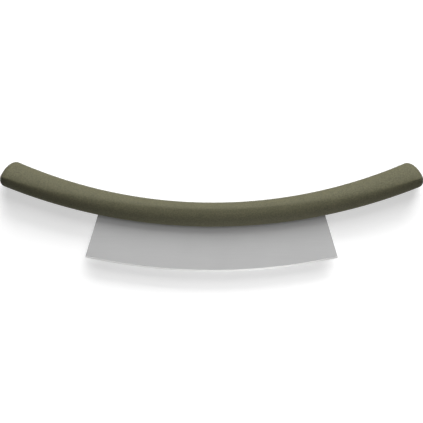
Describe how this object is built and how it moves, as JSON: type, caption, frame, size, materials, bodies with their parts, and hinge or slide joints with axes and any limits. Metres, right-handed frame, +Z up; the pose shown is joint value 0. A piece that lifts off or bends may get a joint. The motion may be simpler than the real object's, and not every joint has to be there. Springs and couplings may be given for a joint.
{
  "type": "mezzaluna",
  "caption": "Rocking herb knife: a thin steel plate blade with a curved ground edge and slanted ends, clamped in one long bowed handle with a soft olive skin over a stiff core.",
  "frame": {"origin": "middle of the footprint, on the surface that the knife lies on", "axes": "+X along the handle, +Y from the cutting edge to the handle's tips, +Z up, square to the blade; the knife lies on its side with the blade level"},
  "size_m": [0.3384, 0.0874, 0.0229],
  "materials": {
    "blade_steel": "satin, fine lengthwise brushing, bright ground edge",
    "core_plastic": "moulded, matte",
    "rivet_aluminium": "plain, set heads",
    "screw_steel": "plain zinc-grey",
    "grip_rubber": "soft-touch matte, fine grain"
  },
  "bodies": {
    "root": {"blade": "blade_steel", "core_front": "core_plastic", "core_rear": "core_plastic", "tang_rivet_1": "rivet_aluminium", "tang_rivet_2": "rivet_aluminium", "tang_rivet_3": "rivet_aluminium", "tang_rivet_4": "rivet_aluminium", "tang_rivet_5": "rivet_aluminium", "core_screw_1": "screw_steel", "core_screw_2": "screw_steel", "core_screw_3": "screw_steel", "core_screw_4": "screw_steel", "grip_skin": "grip_rubber"}
  },
  "joints": []
}
